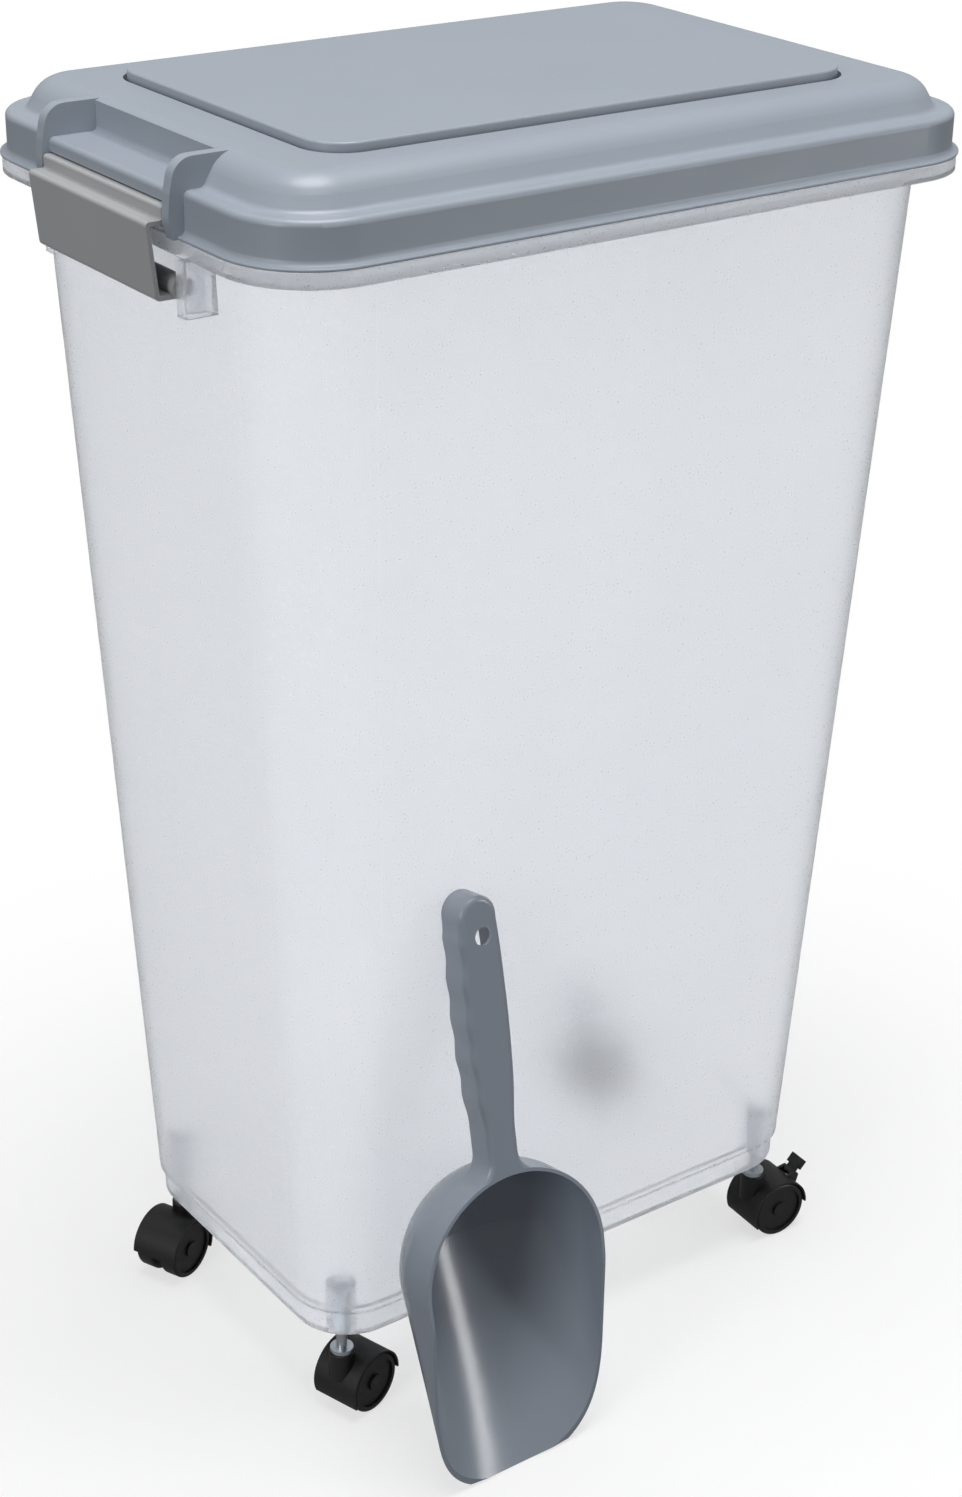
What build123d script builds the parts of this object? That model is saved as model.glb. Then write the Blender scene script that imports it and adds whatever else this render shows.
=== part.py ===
from build123d import *

import os
from math import cos, radians, sin, sqrt, tan

# A tapered food bin on four twin-wheel casters, with a lid hinged at one end and latched at the
# other, and a scoop that leans on its front. Millimetres, +Z up, floor at Z = 0, long sides along X,
# front towards -Y, latch towards -X.
# The origin is on the floor, in the middle of the bin and scoop together.

# Gaps between pieces that rest, run or slide beside each other
rest_gap = 0.3
running_gap = 0.05

# How near an edge lies to the place by which it is chosen
edge_margin = 0.02

# Where the middle of the bin stands behind the origin
bin_y = 19.5

# Bin: foot, tapered body and rim
caster_height = 64.0
foot_length, foot_width, foot_corner = 365.0, 224.0, 36.0
foot_height = 18.5
foot_step = 3.0
foot_round = 2.0
bin_height = 665.0
body_length, body_width, body_corner = 436.0, 286.0, 50.0
bin_wall = 2.5
floor_thickness = 3.0
rim_reach, rim_corner = 16.0, 49.0
rim_height = 8.5
rim_wall = 2.2
rim_round = 0.8
lip_inset = 10.0
lip_thickness = 2.2
lip_height = 23.0

# Lid: flared edge, upright skirt, ledge, raised ring, moat and flat panel
lid_reach, lid_corner = 1.0, 50.0
lid_wall = 2.6
flare_height = 1.7
flare_round = 0.7
flare_hollow = 3.1
skirt_inset = 4.0
skirt_height = 24.0
skirt_round = 3.5
ledge_wall = 3.4
ring_inset = 15.0
ring_height = 17.0
ring_slope = 30.0
ring_round = 18.0
ring_hollow = 4.2
panel_length, panel_width, panel_corner = 345.0, 214.5, 22.0
panel_rise = 4.7
panel_round = 1.2
moat_width = 2.2
moat_depth = 6.8

# Seal, held between two ribs under the lid
seal_overlap = 1.0
seal_width = 4.3
seal_round = 0.8
rib_depth = 4.9
rib_thickness = 2.2
rib_gap = 0.2

# Recess in the front end of the lid, with the bar that the latch pulls on
recess_half = 62.5
recess_length = 28.0
recess_depth = 17.3
recess_round = 2.6
bar_height = 7.5
bar_round = 3.0
bar_overhang = 5.5
cheek_width = 7.0
cheek_reach = 5.0
cheek_shoulder = 8.8
cheek_arch = 12.0
cheek_bow = 20.0
cheek_turn = 10.0
cheek_slope = 1.2
cheek_drop = 1.0
cheek_root_drop = 0.6
cheek_root_round = 6.0

# Latch, drawn as a section through the end of the bin
pivot_inset = 4.0
pivot_drop = 17.3
hinge_radius = 5.8
hinge_ear = 2.5
hinge_side_gap = 0.5
latch_side_gap = 1.0
latch_wall = 2.4
hook_gap = 0.6
hook_thickness = 5.2
hook_length = 8.5
hook_edge = 1.8
hook_inset = 1.5
hook_draft = 0.3
latch_edge = 0.8
web_thickness = 2.7
fold_drop = 7.0
fold_reach = 18.4
fold_round = 2.2
fold_inner_round = 0.6
plate_lean = 4.2
heel_round = 3.0
heel_inner_round = 1.0

# Brackets under the rim, and the screws that the latch turns on
bracket_width = 10.5
bracket_reach = 1.0
bracket_height = 30.5
bracket_round = 2.5
bracket_wall = 1.9
bracket_lug = 2.3
screw_radius = 2.0
screw_bite = 9.0
screw_head_radius = 2.9
screw_head_height = 2.2
screw_slot_length = 3.77
screw_slot_width = 0.8
screw_slot_depth = 0.9

# Lid hinge at the other end: two knuckles on the lid, each in a cradle of two plates on the rim
lid_pin_reach = 8.0
lid_pin_rise = 6.5
lid_pin_radius = 2.0
knuckle_spread = 70.0
knuckle_half = 6.5
knuckle_radius = 5.0
knuckle_gap = 0.5
knuckle_root = 16.0
cradle_wall = 3.0
cradle_depth = 20.0

# Casters
caster_inset_x, caster_inset_y = 18.5, 17.0
boss_radius = 9.0
boss_height = 32.0
socket_radius = 5.5
socket_length = 28.0
socket_edge = 0.3
stem_radius = 3.3
stem_top_gap = 2.0
stem_foot = 8.1
stem_edge = 0.8
collar_radius = 7.1
collar_height = 2.5
collar_bottom = 46.2
wheel_radius = 19.5
wheel_width = 12.4
wheel_round = 1.8
wheel_dish = 1.4
wheel_rim = 3.6
wheel_hub_radius = 5.2
wheel_cap = 1.0
axle_radius = 2.5
axle_end_gap = 0.4
trail = 13.6
hood_clearance = 0.6
hood_wall = 1.2
hood_margin = 0.6
hood_front_drop = 25.0
hood_web = 5.0
hood_web_gap = 0.7
hood_hub_radius = 6.0
hood_boss_radius = 8.0
hood_boss_depth = 19.0
hood_edge_round = 0.4

# Brake levers on the two casters at the right-hand end
lever_angle = 40.0
lever_gap = 0.3
lever_hub_radius = 2.6
lever_pin_radius = 1.2
lever_half = 4.0
lever_ear = 2.0
lever_ear_gap = 0.4
lever_length = 12.0
lever_thickness = 2.4
lever_pedal_half = 6.4
lever_pedal_length = 7.0
lever_tilt = 8.0

# Scoop: a trough with a domed end and a channel-shaped handle, measured up from its tip
scoop_x = -104.5
scoop_lean = 11.6
scoop_wall = 2.2
bowl_half = 62.7
bowl_depth = 70.0
bowl_side = 16.0
bowl_length = 136.0
tip_half = 59.5
tip_depth = 25.0
tip_side = 3.0
tip_bow = 6.0
tip_corner = 21.0
tip_plan_margin = 3.0
mouth_slope_from = 122.0
mouth_slope_round = 60.0
mouth_drop = 21.5
handle_top = 367.4
handle_depth = 19.0
handle_neck = 10.0
handle_belly = 14.0
handle_end = 12.5
handle_neck_top = 222.0
handle_belly_at = 292.0
handle_edge = 3.2
handle_flare = 15.0
handle_flare_margin = 0.5
grip_pitch = 24.0
grip_wave = 0.6
hang_hole_radius = 5.5
hang_hole_x = 1.5
hang_hole_at = 343.5

# Each caster: its place in X and Y, which way its wheels trail, and whether it has a brake
casters = {
    "front_left": (-1, -1, 17.0, False),
    "front_right": (1, -1, -3.0, True),
    "back_left": (-1, 1, 203.0, False),
    "back_right": (1, 1, 6.0, True),
}

# Heights and distances that several pieces share
foot_bottom = caster_height
floor_top = foot_bottom + floor_thickness
foot_top = foot_bottom + foot_height
rim_bottom = foot_bottom + bin_height
rim_top = rim_bottom + rim_height
lip_top = rim_bottom + lip_height
rim_length, rim_width = body_length + 2 * rim_reach, body_width + 2 * rim_reach
lid_length, lid_width = rim_length + 2 * lid_reach, rim_width + 2 * lid_reach
lip_outer = lid_reach + lip_inset
lid_bottom = rim_top + rest_gap
ledge_top = lid_bottom + skirt_height
ledge_under = ledge_top - ledge_wall
ring_top = ledge_top + ring_height
ring_under = ring_top - lid_wall
panel_top = ring_top + panel_rise
moat_floor = ring_top - moat_depth
moat_under = moat_floor - lid_wall
seal_inset = lip_outer - seal_overlap
seal_bottom = lip_top + rest_gap
rib_bottom = ledge_under - rib_depth
crest_inset = ring_inset + ring_height * tan(radians(ring_slope))
shoulder_inset = crest_inset + ring_round * tan(radians(45 - ring_slope / 2))
hollow_inset = ring_inset + lid_wall / cos(radians(ring_slope)) - ledge_wall * tan(radians(ring_slope))
recess_floor = ring_top - recess_depth
bar_bottom = recess_floor - bar_height
lid_end = lid_length / 2
bar_inner = lid_end - bar_overhang
recess_back = lid_end - recess_length
pivot_x = rim_length / 2 - pivot_inset
pivot_z = rim_bottom - pivot_drop
hook_top = bar_bottom - hook_gap
hook_inner = bar_inner + hook_inset
hook_outer = hook_inner + hook_length
hook_bottom = hook_top - hook_thickness
fold_x = pivot_x + fold_reach
fold_z = hook_top - fold_drop
heel_x = fold_x - plate_lean
heel_z = pivot_z - hinge_radius
latch_half = recess_half - latch_side_gap
hinge_half = latch_half + hinge_ear
lug_inner = hinge_half + hinge_side_gap
lug_outer = lug_inner + bracket_lug
bracket_root = body_length / 2 - 2 * bin_wall
bracket_x = (bracket_root + lid_end) / 2
bracket_y = lug_inner + bracket_width / 2
pocket_width = bracket_width - bracket_lug - bracket_wall
pocket_inner = body_length / 2 + bracket_reach
pocket_outer = lid_end - bracket_wall
pocket_x = (pocket_inner + pocket_outer) / 2
pocket_y = lug_outer + pocket_width / 2
lid_pin_x = lid_end + lid_pin_reach
lid_pin_z = rim_top + lid_pin_rise
cradle_inner = knuckle_half + knuckle_gap
cradle_outer = cradle_inner + cradle_wall
cradle_root = body_length / 2 - 0.8 * bin_wall
caster_x, caster_y = foot_length / 2 - caster_inset_x, foot_width / 2 - caster_inset_y
wheel_inner = hood_web / 2 + hood_web_gap
wheel_outer = wheel_inner + wheel_width
hood_half = wheel_outer + hood_margin
hood_inner = wheel_radius + hood_clearance
hood_outer = hood_inner + hood_wall
hood_top = collar_bottom - rest_gap
stem_bottom = hood_top - stem_foot


def level(height):
    """A horizontal plane at a height, about the upright axis of the bin."""
    return Plane((0, bin_y, height))


def end_plane(end):
    """An upright plane along the bin, with its first axis pointing out of the end +1 or -1."""
    return Plane((0, bin_y, 0), x_dir=(end, 0, 0), z_dir=(0, -end, 0))


def outline(height, length, width, corner, inset=0.0):
    """A rounded rectangle at a height, drawn inwards by the inset."""
    with BuildSketch(level(height)) as sketch:
        RectangleRounded(length - 2 * inset, width - 2 * inset, corner - inset)
    return sketch.sketch


def lid_outline(height, inset=0.0):
    return outline(height, lid_length, lid_width, lid_corner, inset)


def lid_band(height, inset, thickness):
    """A closed strip that follows the lid's outline."""
    return lid_outline(height, inset) - lid_outline(height, inset + thickness)


def rim_outline(height, inset=0.0):
    return outline(height, rim_length, rim_width, rim_corner, inset)


def body_outline(height, inset=0.0):
    return outline(height, body_length, body_width, body_corner, inset)


def step_outline(height, inset=0.0):
    return outline(height, foot_length, foot_width, foot_corner, inset - foot_step)


def section(plane, corners):
    """A closed outline on a plane, from corners given as across, up and corner radius."""
    points = [corner[:2] for corner in corners]
    radii = [corner[2] for corner in corners]
    with BuildSketch(plane) as sketch:
        with BuildLine():
            FilletPolyline(*points, radius=radii, close=True)
        make_face()
    return sketch.sketch


def lid_loop(part, height, inset):
    """The edges at a height that follow the lid's outline at an inset."""
    half_x = lid_length / 2 - inset
    half_y = lid_width / 2 - inset

    def follows(edge):
        start = edge @ 0
        off_end = abs(abs(start.X) - half_x)
        off_side = abs(abs(start.Y - bin_y) - half_y)
        off_level = max(abs(start.Z - height), abs((edge @ 1).Z - height))
        return min(off_end, off_side) < edge_margin and off_level < edge_margin

    return part.edges().filter_by(follows)


def ring_surface(reach):
    """The height of the ring's rounded shoulder, that far out from the middle of the lid."""
    past = reach - (lid_end - shoulder_inset)
    return ring_top - ring_round + sqrt(ring_round**2 - past**2)


def save(part, name):
    part.label = name
    export_step(part, f"parts/{name}.step")


os.makedirs("parts", exist_ok=True)
latch_side = end_plane(-1)
hinge_side = end_plane(1)


# Bin
with BuildPart() as container:
    add(outline(foot_bottom, foot_length, foot_width, foot_corner))
    extrude(amount=foot_height)
    fillet(container.edges().group_by(Axis.Z)[0], foot_round)
    add(step_outline(foot_top))
    add(body_outline(rim_bottom))
    loft(ruled=True)
    # Rim flange with an upright band at its edge, and the lip that the seal closes on
    add(rim_outline(rim_bottom))
    extrude(amount=rim_height)
    fillet(container.edges().group_by(Axis.Z)[-1], rim_round)
    add(rim_outline(rim_bottom + rim_wall, rim_wall))
    extrude(amount=rim_height, mode=Mode.SUBTRACT)
    add(rim_outline(rim_bottom, lip_inset))
    extrude(amount=lip_height)
    add(rim_outline(rim_bottom + rim_wall, lip_inset + lip_thickness))
    extrude(amount=lip_height, mode=Mode.SUBTRACT)
    # Brackets under the rim that carry the latch screws
    for flank in (-1, 1):
        with BuildSketch(level(rim_bottom - bracket_height)):
            with Locations((-bracket_x, flank * bracket_y)):
                RectangleRounded(lid_end - bracket_root, bracket_width, bracket_round)
        extrude(amount=bracket_height)
    # Cradles at the other end that carry the pins of the lid's hinge
    for middle in (-knuckle_spread, knuckle_spread):
        for flank in (-1, 1):
            with BuildSketch(hinge_side.offset(middle + flank * cradle_inner)):
                with Locations((lid_pin_x, lid_pin_z)):
                    Circle(knuckle_radius)
                with BuildLine():
                    Polyline(
                        (cradle_root, rim_bottom - cradle_depth),
                        (lid_pin_x + knuckle_radius, rim_top),
                        (lid_pin_x + knuckle_radius, lid_pin_z),
                        (lid_pin_x - knuckle_radius, lid_pin_z),
                        (lid_pin_x - knuckle_radius, rim_top),
                        ((rim_length - rim_wall) / 2, rim_top),
                        ((rim_length - rim_wall) / 2, rim_bottom + rim_wall / 2),
                        (cradle_root, rim_bottom + rim_wall / 2),
                        close=True,
                    )
                make_face()
            extrude(amount=flank * cradle_wall)
        with BuildSketch(hinge_side.offset(middle)):
            with Locations((lid_pin_x, lid_pin_z)):
                Circle(lid_pin_radius + running_gap)
        extrude(amount=cradle_outer, both=True, mode=Mode.SUBTRACT)
    # Inside of the foot, of the tapered body and of the rim
    add(outline(floor_top, foot_length, foot_width, foot_corner, bin_wall))
    extrude(amount=foot_top + bin_wall - floor_top, mode=Mode.SUBTRACT)
    add(step_outline(foot_top + bin_wall, bin_wall))
    add(body_outline(rim_bottom, bin_wall))
    loft(ruled=True, mode=Mode.SUBTRACT)
    add(body_outline(rim_bottom, bin_wall))
    extrude(amount=rim_wall, mode=Mode.SUBTRACT)
    # Hollows of the brackets, open below, and the holes in their inner lugs
    for flank in (-1, 1):
        with BuildSketch(level(rim_bottom - bracket_height)):
            with Locations((-pocket_x, flank * pocket_y)):
                Rectangle(pocket_outer - pocket_inner, pocket_width)
        extrude(amount=bracket_height - bracket_wall, mode=Mode.SUBTRACT)
    with BuildSketch(latch_side):
        with Locations((pivot_x, pivot_z)):
            Circle(screw_radius + running_gap)
    extrude(amount=pocket_y, both=True, mode=Mode.SUBTRACT)
    # Bosses that hold the caster sockets
    with BuildSketch(level(foot_bottom)):
        with GridLocations(2 * caster_x, 2 * caster_y, 2, 2):
            Circle(boss_radius)
    extrude(amount=boss_height)
    with BuildSketch(level(foot_bottom)):
        with GridLocations(2 * caster_x, 2 * caster_y, 2, 2):
            Circle(socket_radius + running_gap)
    extrude(amount=socket_length + running_gap, mode=Mode.SUBTRACT)
save(container.part, "bin")


# Lid: the hollow under it is made first, then cut from the outer shape
with BuildPart() as lid_hollow:
    add(lid_outline(lid_bottom, skirt_inset + lid_wall))
    extrude(amount=ledge_under - lid_bottom)
    add(lid_outline(ledge_under, hollow_inset))
    extrude(amount=ring_under - ledge_under, taper=ring_slope)
    fillet(lid_hollow.edges().group_by(Axis.Z)[-1], ring_round - lid_wall)

with BuildPart() as lid:
    add(lid_outline(lid_bottom))
    extrude(amount=flare_height)
    add(lid_outline(lid_bottom, skirt_inset))
    extrude(amount=skirt_height)
    fillet(lid_loop(lid.part, ledge_top, skirt_inset), skirt_round)
    fillet(lid_loop(lid.part, lid_bottom + flare_height, skirt_inset), flare_hollow)
    fillet(lid_loop(lid.part, lid_bottom + flare_height, 0), flare_round)
    fillet(lid_loop(lid.part, lid_bottom, 0), flare_round)
    add(lid_outline(ledge_top, ring_inset))
    extrude(amount=ring_height, taper=ring_slope)
    fillet(lid_loop(lid.part, ring_top, crest_inset), ring_round)
    fillet(lid_loop(lid.part, ledge_top, ring_inset), ring_hollow)
    add(lid_hollow.part, mode=Mode.SUBTRACT)
    # Moat and panel, with their own wall below
    add(outline(moat_under, panel_length, panel_width, panel_corner, -moat_width - lid_wall))
    extrude(amount=ring_top - moat_under)
    add(outline(moat_floor, panel_length, panel_width, panel_corner, -moat_width))
    extrude(amount=moat_depth, mode=Mode.SUBTRACT)
    add(outline(moat_under, panel_length, panel_width, panel_corner))
    extrude(amount=panel_top - moat_under)
    fillet(lid.edges().group_by(Axis.Z)[-1], panel_round)
    add(outline(moat_under, panel_length, panel_width, panel_corner, lid_wall))
    extrude(amount=panel_top - lid_wall - moat_under, mode=Mode.SUBTRACT)
    # Two ribs that hold the seal
    for rib_inset in (seal_inset - rib_gap - rib_thickness, seal_inset + seal_width + rib_gap):
        add(lid_band(rib_bottom, rib_inset, rib_thickness))
        extrude(amount=rib_depth)
    # Recess at the latch, its floor and back, the bar in front of it and the wall below the bar
    far = lid_end + 2 * cheek_reach
    extrude(
        section(
            latch_side,
            [
                (recess_back, ring_top + lid_wall, 0),
                (recess_back, ledge_under, 0),
                (bar_inner - rim_wall, ledge_under, 0),
                (bar_inner - rim_wall, lid_bottom - rest_gap, 0),
                (far, lid_bottom - rest_gap, 0),
                (far, ring_top + lid_wall, 0),
            ],
        ),
        amount=recess_half, both=True, mode=Mode.SUBTRACT,
    )
    extrude(
        section(
            latch_side,
            [
                (recess_back - lid_wall, ring_under, 0),
                (recess_back - lid_wall, ledge_under, 0),
                (bar_inner - lid_wall, ledge_under, 0),
                (bar_inner - lid_wall, lid_bottom, 0),
                (bar_inner, lid_bottom, 0),
                (bar_inner, bar_bottom, 0),
                (lid_end, bar_bottom, rest_gap),
                (lid_end, recess_floor, bar_round),
                (recess_back, recess_floor, recess_round),
                (recess_back, ring_surface(recess_back), 0),
                (recess_back - lid_wall, ring_surface(recess_back - lid_wall), 0),
            ],
        ),
        amount=recess_half, both=True,
    )
    # Cheeks that stand out on both sides of the recess
    for flank in (recess_half, -recess_half - cheek_width):
        extrude(
            section(
                latch_side.offset(flank),
                [
                    (recess_back - lid_wall, ring_surface(recess_back - lid_wall), 0),
                    (recess_back - lid_wall, ledge_under, 0),
                    (bar_inner - lid_wall, ledge_under, 0),
                    (bar_inner - lid_wall, lid_bottom, 0),
                    (lid_end + cheek_reach / 2, lid_bottom, flare_round),
                    (lid_end + cheek_reach, lid_bottom + cheek_shoulder, cheek_bow),
                    (lid_end + cheek_reach - cheek_slope, ledge_top - cheek_slope, cheek_turn),
                    (lid_end, ring_top - cheek_drop, cheek_arch),
                    (lid_end - 2 * cheek_reach, ring_top - cheek_root_drop, cheek_root_round),
                ],
            ),
            amount=cheek_width,
        )
    # Knuckles that turn on the hinge pins
    for middle in (-knuckle_spread, knuckle_spread):
        with BuildSketch(hinge_side.offset(middle)):
            with Locations((lid_pin_x, lid_pin_z)):
                Circle(knuckle_radius)
            with Locations((lid_end - skirt_inset - lid_wall / 2, lid_bottom + flare_height)):
                Rectangle(lid_wall / 2, knuckle_root, align=Align.MIN)
            make_hull()
        extrude(amount=knuckle_half, both=True)
        with BuildSketch(hinge_side.offset(middle)):
            with Locations((lid_pin_x, lid_pin_z)):
                Circle(lid_pin_radius + running_gap)
        extrude(amount=knuckle_half, both=True, mode=Mode.SUBTRACT)
save(lid.part, "lid")


# Pins of the lid's hinge
with BuildPart() as pins:
    for middle in (-knuckle_spread, knuckle_spread):
        with BuildSketch(hinge_side.offset(middle)):
            with Locations((lid_pin_x, lid_pin_z)):
                Circle(lid_pin_radius)
        extrude(amount=cradle_outer, both=True)
save(pins.part, "hinge_pins")


# Seal
with BuildPart() as seal:
    add(lid_band(seal_bottom, seal_inset, seal_width))
    extrude(amount=ledge_under - seal_bottom)
    fillet(seal.edges().group_by(Axis.Z)[0], seal_round)
save(seal.part, "lid_seal")


# Latch and its screws
with BuildPart() as latch:
    extrude(
        section(
            latch_side,
            [
                (hook_inner, hook_top, latch_edge),
                (hook_outer, hook_top, hook_edge),
                (hook_outer - hook_draft, fold_z, latch_edge),
                (fold_x, fold_z, fold_round),
                (heel_x, heel_z, heel_round),
                (pivot_x, heel_z, 0),
                (pivot_x, heel_z + latch_wall, 0),
                (heel_x - latch_wall, heel_z + latch_wall, heel_inner_round),
                (fold_x - latch_wall, fold_z - latch_wall, fold_inner_round),
                (hook_outer - web_thickness, fold_z - latch_wall, 0),
                (hook_outer - web_thickness, hook_bottom, 0),
                (hook_inner, hook_bottom, latch_edge),
            ],
        ),
        amount=latch_half, both=True,
    )
    with BuildSketch(latch_side):
        with Locations((pivot_x, pivot_z)):
            Circle(hinge_radius)
    extrude(amount=hinge_half, both=True)
    for flank in (-1, 1):
        with BuildSketch(latch_side.offset(flank * hinge_half)):
            with Locations((pivot_x, pivot_z)):
                Circle(screw_radius + running_gap)
        extrude(amount=-flank * screw_bite, mode=Mode.SUBTRACT)
save(latch.part, "latch")

with BuildPart() as screws:
    for flank in (-1, 1):
        with BuildSketch(latch_side.offset(flank * lug_outer)):
            with Locations((pivot_x, pivot_z)):
                Circle(screw_head_radius)
        extrude(amount=flank * screw_head_height)
        with BuildSketch(latch_side.offset(flank * lug_outer)):
            with Locations((pivot_x, pivot_z)):
                Circle(screw_radius)
        extrude(amount=-flank * (lug_outer - hinge_half + screw_bite - rest_gap))
        with BuildSketch(latch_side.offset(flank * (lug_outer + screw_head_height))):
            with Locations((pivot_x, pivot_z)):
                Rectangle(screw_slot_length, screw_slot_width)
                Rectangle(screw_slot_width, screw_slot_length)
        extrude(amount=-flank * screw_slot_depth, mode=Mode.SUBTRACT)
save(screws.part, "latch_screws")


# Casters
def caster_plane(x, y, yaw):
    """A horizontal plane at the floor under a stem, with its first axis towards the wheels."""
    return Plane((x, bin_y + y, 0), x_dir=(cos(radians(yaw)), sin(radians(yaw)), 0), z_dir=(0, 0, 1))


def wheel_plane(x, y, yaw):
    """The upright plane midway between the two wheels, its second axis pointing up."""
    across = (sin(radians(yaw)), -cos(radians(yaw)), 0)
    return Plane((x, bin_y + y, 0), x_dir=(cos(radians(yaw)), sin(radians(yaw)), 0), z_dir=across)


def wedge(start, stop):
    """The corners of a wedge about the axle, from one angle to another, well past the hood."""
    reach = 3 * hood_outer
    angles = [radians(angle) for angle in (start, (start + stop) / 2, stop)]
    rays = [(trail + reach * cos(angle), wheel_radius + reach * sin(angle)) for angle in angles]
    return [(trail, wheel_radius), *rays]


for name, (end, flank, yaw, braked) in casters.items():
    stand = (end * caster_x, flank * caster_y, yaw)
    floor_plane = caster_plane(*stand)
    side_plane = wheel_plane(*stand)
    axle_at = (trail, wheel_radius)

    with BuildPart() as socket:
        with BuildSketch(floor_plane.offset(foot_bottom)):
            Circle(socket_radius)
            Circle(stem_radius + running_gap, mode=Mode.SUBTRACT)
        extrude(amount=socket_length)
        chamfer(socket.edges().group_by(Axis.Z)[-1], socket_edge)
    save(socket.part, f"caster_socket_{name}")

    with BuildPart() as stem:
        with BuildSketch(floor_plane.offset(stem_bottom)):
            Circle(stem_radius)
        extrude(amount=foot_bottom + socket_length - stem_top_gap - stem_bottom)
        chamfer(stem.edges().group_by(Axis.Z)[-1], stem_edge)
        with BuildSketch(floor_plane.offset(collar_bottom)):
            Circle(collar_radius)
        extrude(amount=collar_height)
    save(stem.part, f"caster_stem_{name}")

    pivot_radius = hood_outer + lever_gap + lever_hub_radius
    lever_pivot = (
        trail + pivot_radius * cos(radians(lever_angle)),
        wheel_radius + pivot_radius * sin(radians(lever_angle)),
    )
    ear_inner = lever_half + lever_ear_gap
    with BuildPart() as hood:
        # Fender over both wheels
        with BuildSketch(side_plane):
            with Locations(axle_at):
                Circle(hood_outer)
                Circle(hood_inner, mode=Mode.SUBTRACT)
            with BuildLine():
                Polyline(*wedge(180 + hood_front_drop, 360), close=True)
            make_face(mode=Mode.SUBTRACT)
        extrude(amount=hood_half, both=True)
        # Web between the wheels, with the hub that holds the axle
        with BuildSketch(side_plane):
            with Locations(axle_at):
                Circle(hood_outer - hood_wall / 2)
            with BuildLine():
                Polyline(*wedge(180 + hood_front_drop, 360), close=True)
            make_face(mode=Mode.SUBTRACT)
            with Locations(axle_at):
                Circle(hood_hub_radius)
                Circle(axle_radius + running_gap, mode=Mode.SUBTRACT)
        extrude(amount=hood_web / 2, both=True)
        # Boss that turns on the stem
        with BuildSketch(floor_plane.offset(hood_top - hood_boss_depth)):
            Circle(hood_boss_radius)
        extrude(amount=hood_boss_depth)
        if braked:
            for flank_side in (-1, 1):
                with BuildSketch(side_plane.offset(flank_side * ear_inner)):
                    with Locations(lever_pivot):
                        Circle(lever_hub_radius)
                    with Locations(axle_at):
                        with Locations(Location((0, 0, 0), (0, 0, lever_angle))):
                            with Locations((hood_inner, 0)):
                                Rectangle(hood_wall, 4 * lever_hub_radius)
                    make_hull()
                extrude(amount=flank_side * lever_ear)
        # Room for the wheels
        for flank_side in (-1, 1):
            with BuildSketch(side_plane.offset(flank_side * hood_web / 2)):
                with Locations(axle_at):
                    Circle(hood_inner)
            extrude(amount=flank_side * hood_half, mode=Mode.SUBTRACT)
        with BuildSketch(floor_plane.offset(stem_bottom - rest_gap)):
            Circle(stem_radius + running_gap)
        extrude(amount=stem_foot + rest_gap, mode=Mode.SUBTRACT)
        fillet(hood.edges().group_by(Axis.Z)[-1].sort_by(SortBy.LENGTH)[-1], 2 * hood_edge_round)
        if braked:
            with BuildSketch(side_plane):
                with Locations(lever_pivot):
                    Circle(lever_pin_radius)
            extrude(amount=ear_inner + lever_ear, both=True)
    save(hood.part, f"caster_hood_{name}")

    with BuildPart() as axle:
        with BuildSketch(side_plane):
            with Locations(axle_at):
                Circle(axle_radius)
        extrude(amount=wheel_outer - wheel_dish - wheel_cap - axle_end_gap, both=True)
    save(axle.part, f"caster_axle_{name}")

    for flank_side, wheel_name in ((-1, "a"), (1, "b")):
        with BuildPart() as wheel:
            with BuildSketch(side_plane.offset(flank_side * wheel_inner)):
                with Locations(axle_at):
                    Circle(wheel_radius)
            extrude(amount=flank_side * wheel_width)
            fillet(wheel.edges().filter_by(GeomType.CIRCLE), wheel_round)
            # Shallow dish between the tread and the hub on the outer face
            with BuildSketch(side_plane.offset(flank_side * wheel_outer)):
                with Locations(axle_at):
                    Circle(wheel_radius - wheel_rim)
                    Circle(wheel_hub_radius, mode=Mode.SUBTRACT)
            extrude(amount=-flank_side * wheel_dish, mode=Mode.SUBTRACT)
            with BuildSketch(side_plane.offset(flank_side * wheel_inner)):
                with Locations(axle_at):
                    Circle(axle_radius + running_gap)
            extrude(amount=flank_side * (wheel_width - wheel_dish - wheel_cap), mode=Mode.SUBTRACT)
        save(wheel.part, f"caster_wheel_{name}_{wheel_name}")

    if braked:
        with BuildPart() as lever:
            with BuildSketch(side_plane):
                with Locations(lever_pivot):
                    Circle(lever_hub_radius)
                    with Locations(Location((0, 0, 0), (0, 0, lever_angle + lever_tilt))):
                        Rectangle(lever_length, lever_thickness, align=(Align.MIN, Align.CENTER))
            extrude(amount=lever_half, both=True)
            with BuildSketch(side_plane):
                with Locations(lever_pivot):
                    with Locations(Location((0, 0, 0), (0, 0, lever_angle + lever_tilt))):
                        with Locations((lever_length, 0)):
                            Rectangle(lever_pedal_length, lever_thickness, align=(Align.MAX, Align.CENTER))
            extrude(amount=lever_pedal_half, both=True)
            with BuildSketch(side_plane):
                with Locations(lever_pivot):
                    Circle(lever_pin_radius + running_gap)
            extrude(amount=lever_pedal_half, both=True, mode=Mode.SUBTRACT)
        save(lever.part, f"brake_lever_{name}")


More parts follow.
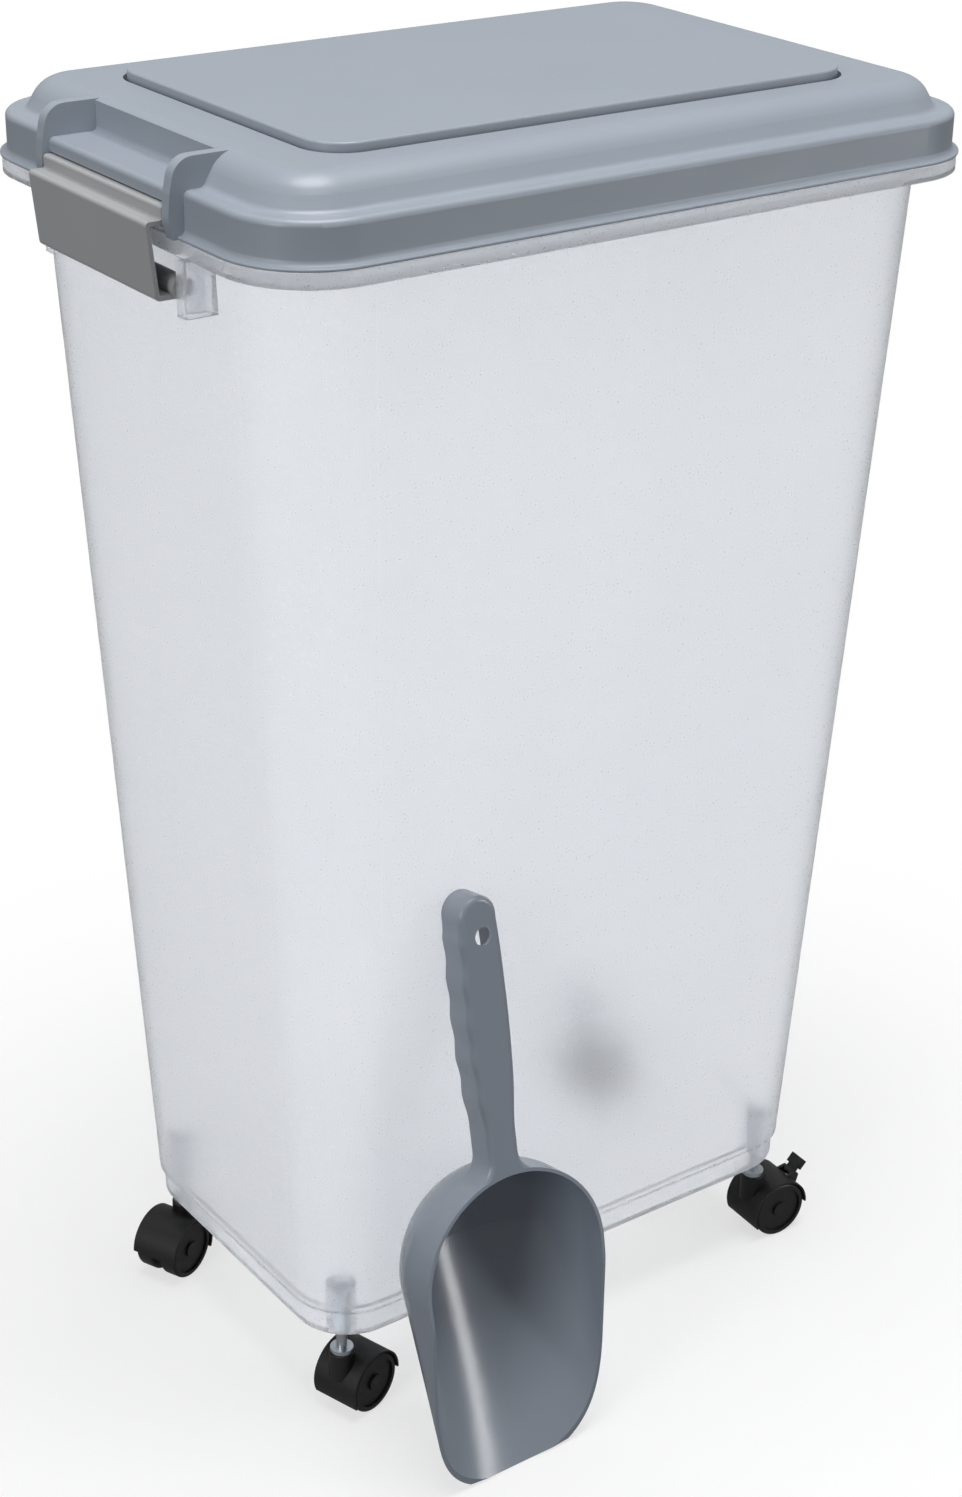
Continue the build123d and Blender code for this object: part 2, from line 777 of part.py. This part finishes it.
# Scoop: it stands on its tip and leans on the bin with the top of its handle
lean_sin = sin(radians(scoop_lean))
lean_cos = cos(radians(scoop_lean))
wall_slope = (body_width - foot_width - 2 * foot_step) / 2 / (rim_bottom - foot_top)
scoop_lift = tip_depth * lean_sin
touch_z = scoop_lift + handle_top * lean_cos - handle_depth * lean_sin
touch_y = -foot_width / 2 - foot_step - wall_slope * (touch_z - foot_top) - rest_gap
scoop_y = touch_y - handle_top * lean_sin - handle_depth * lean_cos
scoop_face = Plane((scoop_x, bin_y + scoop_y, scoop_lift), x_dir=(1, 0, 0), z_dir=(0, -lean_cos, lean_sin))


def across_scoop(height):
    """A plane square to the scoop's length, its second axis pointing to the back of the bowl."""
    middle = scoop_face.from_local_coords((0, height, 0))
    return Plane(middle, x_dir=(1, 0, 0), z_dir=(0, lean_sin, lean_cos))


def trough(height, half, depth, side):
    """The U-shaped section of the bowl, open towards the front."""
    with BuildSketch(across_scoop(height)) as sketch:
        with BuildLine():
            EllipticalCenterArc((0, side), half, depth - side, start_angle=0, arc_size=180)
            Polyline((-half, side), (-half, -scoop_wall), (half, -scoop_wall), (half, side))
        make_face()
    return sketch.sketch


def half_trough(height, half, depth, side):
    """One half of that section, to be turned about the middle of the dome."""
    with BuildSketch(across_scoop(height)) as sketch:
        with BuildLine():
            EllipticalCenterArc((0, side), half, depth - side, start_angle=0, arc_size=90)
            Polyline((0, depth), (0, -scoop_wall), (half, -scoop_wall), (half, side))
        make_face()
    return sketch.sketch


def bowl_space(wall):
    """The bowl as a solid, drawn inwards by the wall."""
    with BuildPart() as space:
        add(trough(0, tip_half - wall, tip_depth - wall, tip_side))
        add(trough(bowl_length, bowl_half - wall, bowl_depth - wall, bowl_side))
        loft(ruled=True)
        add(half_trough(bowl_length, bowl_half - wall, bowl_depth - wall, bowl_side))
        dome_middle = scoop_face.from_local_coords((0, bowl_length, 0))
        revolve(axis=Axis(dome_middle, scoop_face.z_dir), revolution_arc=180)
    return space.part


def grip_half(height):
    """Half the width of the handle at a height."""
    if height < handle_belly_at:
        rise = (height - handle_neck_top) / (handle_belly_at - handle_neck_top)
        return handle_neck + (handle_belly - handle_neck) * sin(radians(90 * rise))
    rise = (height - handle_belly_at) / (handle_top - handle_end - handle_belly_at)
    return handle_belly + (handle_end - handle_belly) * rise**2


grip_heights = [handle_neck_top + grip_pitch / 2 * i for i in range(1, 11)]
round_at = handle_top - handle_end
flare_reach = bowl_half + handle_flare
flare_rise = sqrt(flare_reach**2 - (handle_neck + handle_flare) ** 2)
flare_from = bowl_length + flare_rise * bowl_half / flare_reach + handle_flare_margin
dome_at = (0, bowl_length)
plan_half = bowl_half + tip_plan_margin
plan_top = 2 * handle_top


def draw_grip(foot, inset=0.0):
    """The outline of the handle above a foot line, drawn inwards by the inset, for an open BuildLine."""
    neck = handle_neck - inset
    end = handle_end - inset
    right = [(grip_half(h) - inset, h) for h in grip_heights[1::2]]
    left = [(inset - grip_half(h) + grip_wave * (-1) ** i, h) for i, h in enumerate(grip_heights)]
    Polyline((-neck, handle_neck_top), (-neck, foot), (neck, foot), (neck, handle_neck_top))
    Spline((neck, handle_neck_top), *right, (end, round_at), tangents=((0, 1), (0, 1)))
    ThreePointArc((end, round_at), (0, handle_top - inset), (-end, round_at))
    Spline((-neck, handle_neck_top), *left, (-end, round_at), tangents=((0, 1), (0, 1)))


def on_handle_front(edge):
    """Whether an edge bounds the handle's front face, its cut foot apart."""
    middle = scoop_face.to_local_coords(edge @ 0.5)
    return abs(middle.Z) < edge_margin and middle.Y > flare_from + 2 * handle_flare_margin


with BuildPart() as scoop:
    with BuildSketch(scoop_face) as grip:
        with BuildLine():
            draw_grip(bowl_length)
        make_face()
        with Locations(dome_at):
            Circle(bowl_half)
        below_neck = (flare_from - handle_flare_margin, handle_neck_top - edge_margin)
        inside_corners = grip.vertices().filter_by_position(Axis.Y, *below_neck)
        fillet(inside_corners, handle_flare)
        with Locations(dome_at):
            Circle(bowl_half - scoop_wall, mode=Mode.SUBTRACT)
        with Locations((0, flare_from)):
            Rectangle(3 * bowl_half, 3 * bowl_half, align=(Align.CENTER, Align.MAX), mode=Mode.SUBTRACT)
    extrude(amount=-handle_depth)
    fillet(scoop.edges().filter_by(on_handle_front), handle_edge)
    add(bowl_space(0))
    add(bowl_space(scoop_wall), mode=Mode.SUBTRACT)
    # Channel behind the handle and the hole to hang it by
    with BuildSketch(scoop_face.offset(-scoop_wall)):
        with BuildLine():
            draw_grip(bowl_length + bowl_half + scoop_wall, scoop_wall)
        make_face()
    extrude(amount=-handle_depth, mode=Mode.SUBTRACT)
    with BuildSketch(scoop_face):
        with Locations((hang_hole_x, hang_hole_at)):
            Circle(hang_hole_radius)
    extrude(amount=-handle_depth, mode=Mode.SUBTRACT)
    # Mouth, sloping back towards the tip
    mouth = [
        (-bowl_half, -mouth_drop, 0),
        (0, -mouth_drop, 0),
        (mouth_slope_from, 0, mouth_slope_round),
        (plan_top, 0, 0),
        (plan_top, bowl_half, 0),
        (-bowl_half, bowl_half, 0),
    ]
    side_view = Plane(scoop_face.origin, x_dir=(0, lean_sin, lean_cos), z_dir=(1, 0, 0))
    extrude(section(side_view, mouth), amount=2 * bowl_half, both=True, mode=Mode.SUBTRACT)
    # Bowed tip with rounded corners
    with BuildSketch(scoop_face) as tip:
        with BuildLine():
            ThreePointArc((-tip_half, tip_bow), (0, 0), (tip_half, tip_bow))
            Polyline((tip_half, tip_bow), (plan_half, bowl_length), (plan_half, plan_top))
            Line((plan_half, plan_top), (-plan_half, plan_top))
            Polyline((-tip_half, tip_bow), (-plan_half, bowl_length), (-plan_half, plan_top))
        make_face()
        fillet(tip.vertices().filter_by_position(Axis.Y, tip_bow - 1, tip_bow + 1), tip_corner)
    extrude(amount=-2 * bowl_depth, mode=Mode.INTERSECT)
save(scoop.part, "scoop")
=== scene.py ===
from math import cos, radians, sin

import bpy
from mathutils import Matrix, Vector

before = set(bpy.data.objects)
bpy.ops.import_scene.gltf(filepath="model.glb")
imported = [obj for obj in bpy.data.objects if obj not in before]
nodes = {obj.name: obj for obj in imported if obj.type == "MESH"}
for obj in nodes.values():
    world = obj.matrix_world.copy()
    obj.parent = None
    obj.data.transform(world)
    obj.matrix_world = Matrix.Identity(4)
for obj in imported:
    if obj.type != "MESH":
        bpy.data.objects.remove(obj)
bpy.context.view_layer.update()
print("frame loaded:", len(nodes), "nodes")


# one socket of a shader tree, joined to others by Python's own operators
class Socket:
    def __init__(self, finish, source):
        self.finish = finish
        self.source = source

    def maths(self, operation, first, second):
        return self.finish.node("ShaderNodeMath", {"operation": operation}, {0: first, 1: second})

    def __add__(self, other):
        return self.maths("ADD", self, other)

    def __radd__(self, other):
        return self.maths("ADD", other, self)

    def __sub__(self, other):
        return self.maths("SUBTRACT", self, other)

    def __rsub__(self, other):
        return self.maths("SUBTRACT", other, self)

    def __mul__(self, other):
        return self.maths("MULTIPLY", self, other)

    def __rmul__(self, other):
        return self.maths("MULTIPLY", other, self)


# the node tree of a material or of the world, under construction
class Finish:
    def __init__(self, owner):
        self.owner = owner
        owner.use_nodes = True
        self.tree = owner.node_tree
        self.tree.nodes.clear()

    # any node: its settings are made first, then its sockets are set or linked
    def node(self, kind, settings=None, inputs=None, output=0):
        made = self.tree.nodes.new(kind)
        for name, value in (settings or {}).items():
            if name == "stops":
                self.setStops(made.color_ramp, value)
            else:
                setattr(made, name, value)
        for name, value in (inputs or {}).items():
            if isinstance(value, Socket):
                self.tree.links.new(value.source, made.inputs[name])
            else:
                made.inputs[name].default_value = value
        return Socket(self, made.outputs[output]) if made.outputs else None

    # a new ramp has two elements, which take the two stops
    def setStops(self, ramp, stops):
        for element, (place, level) in zip(ramp.elements, stops):
            element.position = place
            element.color = (level, level, level, 1)

    def place(self):
        return self.node("ShaderNodeTexCoord", output="Object")

    # smooth noise from 0 to 1, its grain in metres; packing over 1 packs it closer along an axis,
    # and under 1 draws it out
    def noise(self, grain, detail, roughness=0.5, packing=(1, 1, 1)):
        vector = self.node("ShaderNodeMapping", {}, {"Vector": self.place(), "Scale": packing})
        inputs = {"Vector": vector, "Scale": 1 / grain, "Detail": detail, "Roughness": roughness}
        return self.node("ShaderNodeTexNoise", {}, inputs)

    # 0 up to the start, 1 from the end on
    def ramp(self, value, start, end):
        return self.node("ShaderNodeValToRGB", {"stops": ((start, 0), (end, 1))}, {"Fac": value})

    def mix(self, factor, first, second):
        inputs = {0: factor, 6: first, 7: second}  # 6 and 7 are its colours, output 2 the mixed one
        return self.node("ShaderNodeMix", {"data_type": "RGBA"}, inputs, output=2)

    def bump(self, height, depth):
        return self.node("ShaderNodeBump", {}, {"Height": height, "Distance": depth, "Strength": 1.0})

    # 1 on rays of one kind, 0 on all others
    def rays(self, kind):
        return self.node("ShaderNodeLightPath", output=f"Is {kind} Ray")

    # how far rays of each kind see the plain white background in place of the lit one
    def background(self, straight, look):
        seen, through, mirrored = (self.rays(kind) for kind in ("Camera", "Transmission", "Glossy"))
        return seen * straight + through + mirrored * look["mirrored"]

    # a material of one principled shader, from the names and values of its sockets
    def surface(self, inputs):
        shader = self.node("ShaderNodeBsdfPrincipled", {}, inputs)
        self.node("ShaderNodeOutputMaterial", {}, {"Surface": shader})
        return self.owner


# from screen levels, 0 to 255, to the linear light of the shaders: a straight foot, then a power
screenCurve = {"top": 255, "footEnd": 0.04045, "footSlope": 12.92, "lift": 0.055, "power": 2.4}
plainWhite = (1, 1, 1, 1)


def linearLevel(level, curve):
    share = level / curve["top"]
    if share < curve["footEnd"]:
        return share / curve["footSlope"]
    return ((share + curve["lift"]) / (1 + curve["lift"])) ** curve["power"]


def linear(colour):
    return (*[linearLevel(level, screenCurve) for level in colour], 1)


# moulded polypropylene: spark-eroded grain, slow colour drift and rubbed, shinier patches
def mouldedPlastic(name, look):
    finish = Finish(bpy.data.materials.new(name))
    drift = finish.noise(look["driftGrain"], detail=3.0)
    patches = finish.noise(look["rubGrain"], detail=4.0, roughness=0.6, packing=(1, 1, 2.5))
    rub = finish.ramp(patches, start=0.42, end=0.68)
    grain = finish.noise(look["grain"], detail=2.0, roughness=0.6)
    return finish.surface({
        "Base Color": finish.mix(drift, linear(look["shade"]), linear(look["tint"])),
        "Roughness": look["roughness"] + grain * look["grainRoughness"] - rub * look["rubPolish"],
        "Normal": finish.bump(grain, look["grainDepth"]),
    })


lidLook = {
    "shade": (143, 151, 161), "tint": (150, 158, 168),
    "driftGrain": 0.12, "rubGrain": 0.05, "grain": 0.0006, "grainDepth": 0.00004,
    "roughness": 0.36, "grainRoughness": 0.1, "rubPolish": 0.06,
}
latchLook = {
    "shade": (158, 159, 160), "tint": (165, 166, 167),
    "driftGrain": 0.08, "rubGrain": 0.03, "grain": 0.0006, "grainDepth": 0.00004,
    "roughness": 0.34, "grainRoughness": 0.1, "rubPolish": 0.07,
}
scoopLook = {
    "shade": (134, 142, 153), "tint": (138, 146, 157),
    "driftGrain": 0.1, "rubGrain": 0.012, "grain": 0.0008, "grainDepth": 0.00002,
    "roughness": 0.19, "grainRoughness": 0.05, "rubPolish": 0.015,
}
casterLook = {
    "shade": (8, 8, 8), "tint": (16, 16, 16),
    "driftGrain": 0.03, "rubGrain": 0.01, "grain": 0.0005, "grainDepth": 0.00006,
    "roughness": 0.42, "grainRoughness": 0.15, "rubPolish": 0.08,
}
wheelLook = {
    "shade": (7, 7, 8), "tint": (14, 14, 14),
    "driftGrain": 0.02, "rubGrain": 0.008, "grain": 0.0006, "grainDepth": 0.00005,
    "roughness": 0.36, "grainRoughness": 0.2, "rubPolish": 0.1,
}
leverLook = {**casterLook, "roughness": 0.34, "grainDepth": 0.00003}
socketLook = {**casterLook, "shade": (224, 231, 238), "tint": (232, 238, 244), "roughness": 0.4}


# frosted polypropylene: light passes, outlines blur, the wall is a little cloudy
def frostedPlastic(name, look):
    finish = Finish(bpy.data.materials.new(name))
    cloud = finish.noise(look["cloudGrain"], detail=4.0, roughness=0.55, packing=(1, 1, 0.6))
    frost = finish.noise(look["frostGrain"], detail=2.0, roughness=0.6)
    return finish.surface({
        "Base Color": finish.mix(cloud, linear(look["shade"]), linear(look["tint"])),
        "Roughness": look["roughness"] + frost * look["frostRoughness"],
        "Transmission Weight": look["clear"],
        "IOR": look["index"],
        "Normal": finish.bump(frost, look["frostDepth"]),
    })


binLook = {
    "shade": (247, 249, 252), "tint": (252, 253, 255),
    "cloudGrain": 0.16, "frostGrain": 0.0012, "frostDepth": 0.00002,
    "roughness": 0.24, "frostRoughness": 0.1, "clear": 0.84, "index": 1.2,
}


# soft silicone gasket, dull with a trace of talc
def gasketRubber(name, look):
    finish = Finish(bpy.data.materials.new(name))
    dust = finish.noise(look["talcGrain"], detail=5.0, roughness=0.65)
    talc = finish.ramp(dust, start=0.35, end=0.7)
    return finish.surface({
        "Base Color": finish.mix(talc, linear(look["rubber"]), linear(look["talc"])),
        "Roughness": look["roughness"] + talc * look["talcRoughness"],
        "Normal": finish.bump(talc, look["depth"]),
    })


sealLook = {
    "rubber": (198, 202, 206), "talc": (224, 226, 228), "talcGrain": 0.004,
    "roughness": 0.55, "talcRoughness": 0.2, "depth": 0.00005,
}


# zinc or nickel plated steel: a mottled bright layer with fine marks, drawn out by their packing
def platedSteel(name, look):
    finish = Finish(bpy.data.materials.new(name))
    mottle = finish.noise(look["mottleGrain"], detail=4.0, roughness=0.6)
    marks = finish.noise(look["markGrain"], detail=1.0, packing=look["markPacking"])
    roughness = look["roughness"] + mottle * look["mottleRoughness"] + marks * look["markRoughness"]
    return finish.surface({
        "Base Color": finish.mix(mottle, linear(look["dull"]), linear(look["bright"])),
        "Metallic": 1.0,
        "Roughness": roughness,
        "Normal": finish.bump(marks, look["markDepth"]),
    })


zincLook = {
    "dull": (176, 182, 188), "bright": (214, 218, 222), "mottleGrain": 0.004,
    "markGrain": 0.0006, "markPacking": (0.2, 0.2, 3.0), "markDepth": 0.00003,
    "roughness": 0.2, "mottleRoughness": 0.14, "markRoughness": 0.08,
}
screwLook = {
    **zincLook,
    "dull": (160, 162, 164), "bright": (204, 206, 208), "markPacking": (1.5, 0.3, 0.3),
}
axleLook = {**zincLook, "dull": (140, 141, 143), "bright": (180, 181, 183), "roughness": 0.3}

finishes = {
    "bin": frostedPlastic("binPlastic", binLook),
    "lid": mouldedPlastic("lidPlastic", lidLook),
    "lid_seal": gasketRubber("sealRubber", sealLook),
    "latch": mouldedPlastic("latchPlastic", latchLook),
    "latch_screws": platedSteel("screwSteel", screwLook),
    "hinge_pins": platedSteel("pinSteel", screwLook),
    "caster_socket": mouldedPlastic("socketPlastic", socketLook),
    "caster_stem": platedSteel("stemZinc", zincLook),
    "caster_hood": mouldedPlastic("casterPlastic", casterLook),
    "caster_axle": platedSteel("axleSteel", axleLook),
    "caster_wheel": mouldedPlastic("wheelPlastic", wheelLook),
    "brake_lever": mouldedPlastic("leverPlastic", leverLook),
    "scoop": mouldedPlastic("scoopPlastic", scoopLook),
}


# each node takes the finish whose name starts its own; the longest such name wins
def dressNodes():
    for name, piece in nodes.items():
        fitting = max((start for start in finishes if name.startswith(start)), key=len)
        piece.data.materials.clear()
        piece.data.materials.append(finishes[fitting])


dressNodes()
print("finishes:", len(finishes))


# floor of the studio: near the object a share of its shadow is kept, further out the camera sees white
stageLook = {
    "reach": 14.0, "colour": (248, 248, 248), "bounce": (76, 78, 82), "roughness": 0.8,
    "whiteFrom": 0.25, "whiteTo": 0.7, "shadowKept": 0.35, "mirrored": 0.2,
}


def makeFloor(look):
    mesh = bpy.data.meshes.new("studioFloor")
    reach = look["reach"]
    corners = [(-reach, -reach, 0), (reach, -reach, 0), (reach, reach, 0), (-reach, reach, 0)]
    mesh.from_pydata(corners, [], [(0, 1, 2, 3)])
    floor = bpy.data.objects.new("studioFloor", mesh)
    bpy.context.scene.collection.objects.link(floor)
    finish = Finish(bpy.data.materials.new("studioPaper"))
    place = finish.place()
    distance = finish.node("ShaderNodeVectorMath", {"operation": "LENGTH"}, {0: place}, output="Value")
    limits = {"Value": distance, "From Min": look["whiteFrom"], "From Max": look["whiteTo"]}
    far = finish.node("ShaderNodeMapRange", {"interpolation_type": "SMOOTHSTEP"}, limits)
    kept = look["shadowKept"]
    share = finish.background((1 - kept) + far * kept, look)
    shade = finish.mix(finish.rays("Camera"), linear(look["bounce"]), linear(look["colour"]))
    sockets = {"Base Color": shade, "Roughness": look["roughness"]}
    paper = finish.node("ShaderNodeBsdfPrincipled", {}, sockets)
    white = finish.node("ShaderNodeEmission", {}, {"Color": plainWhite, "Strength": 1.0})
    mixed = finish.node("ShaderNodeMixShader", {}, {0: share, 1: paper, 2: white})
    finish.node("ShaderNodeOutputMaterial", {}, {"Surface": mixed})
    mesh.materials.append(finish.owner)


# the world: an even soft light, white where the camera sees it
worldLook = {"light": 0.17, "tint": (0.98, 0.99, 1.0), "mirrored": 0.3}


def makeWorld(look):
    world = bpy.data.worlds.new("studio")
    bpy.context.scene.world = world
    finish = Finish(world)
    sockets = {"Color": (*look["tint"], 1), "Strength": look["light"]}
    soft = finish.node("ShaderNodeBackground", {}, sockets)
    white = finish.node("ShaderNodeBackground", {}, {"Color": plainWhite, "Strength": 1.0})
    share = finish.background(1, look)
    mixed = finish.node("ShaderNodeMixShader", {}, {0: share, 1: soft, 2: white})
    finish.node("ShaderNodeOutputWorld", {}, {"Surface": mixed})


# large soft boxes: place, the point each faces, size in metres and power in watts
softBoxes = {
    "overhead": {"place": (0.0, -0.25, 3.2), "towards": (0, 0, 0.7), "size": (1.8, 1.6), "power": 76},
    "left": {"place": (-3.0, -1.0, 1.4), "towards": (0, 0, 0.5), "size": (1.0, 1.8), "power": 38},
    "right": {"place": (1.9, -2.35, 0.65), "towards": (0, 0, 0.3), "size": (0.42, 1.1), "power": 18},
}


def makeLights():
    for name, box in softBoxes.items():
        light = bpy.data.lights.new(name, "AREA")
        light.shape = "RECTANGLE"
        light.size, light.size_y = box["size"]
        light.energy = box["power"]
        lamp = bpy.data.objects.new(name, light)
        lamp.location = box["place"]
        facing = Vector(box["towards"]) - lamp.location
        lamp.rotation_euler = facing.to_track_quat("-Z", "Y").to_euler()
        bpy.context.scene.collection.objects.link(lamp)


# the photograph's viewpoint: angles in degrees, distance and target in metres, the sensor in
# millimetres, and the rest in the photograph's pixels
cameraLook = {
    "azimuth": -36.696, "elevation": 26.195, "roll": 1.185, "distance": 1.68112,
    "target": (0.019529, 0.006072, 0.36302), "sensor": 36.0,
    "photoSize": (962, 1497), "focalLength": 2738.70, "opticalCentre": (516.1, 757.2),
}


def makeCamera(look):
    turn, rise, roll = (radians(look[name]) for name in ("azimuth", "elevation", "roll"))
    back = Vector((sin(turn) * cos(rise), -cos(turn) * cos(rise), sin(rise)))
    level = Vector((cos(turn), sin(turn), 0))
    upright = back.cross(level)
    right = level * cos(roll) + upright * sin(roll)
    up = upright * cos(roll) - level * sin(roll)
    data = bpy.data.cameras.new("camera")
    camera = bpy.data.objects.new("camera", data)
    axes = Matrix((right, up, back)).transposed().to_4x4()
    stand = Vector(look["target"]) + back * look["distance"]
    camera.matrix_world = Matrix.Translation(stand) @ axes
    width, height = look["photoSize"]
    across, down = look["opticalCentre"]
    data.sensor_width = look["sensor"]  # spanned by the photograph's longer side, its height
    data.lens = look["focalLength"] * look["sensor"] / height
    data.shift_x = (width / 2 - across) / height
    data.shift_y = (down - height / 2) / height
    bpy.context.scene.collection.objects.link(camera)
    bpy.context.scene.camera = camera


makeFloor(stageLook)
makeWorld(worldLook)
makeLights()
makeCamera(cameraLook)
bpy.context.scene.view_settings.view_transform = "Standard"
print("stage, lights and camera made")
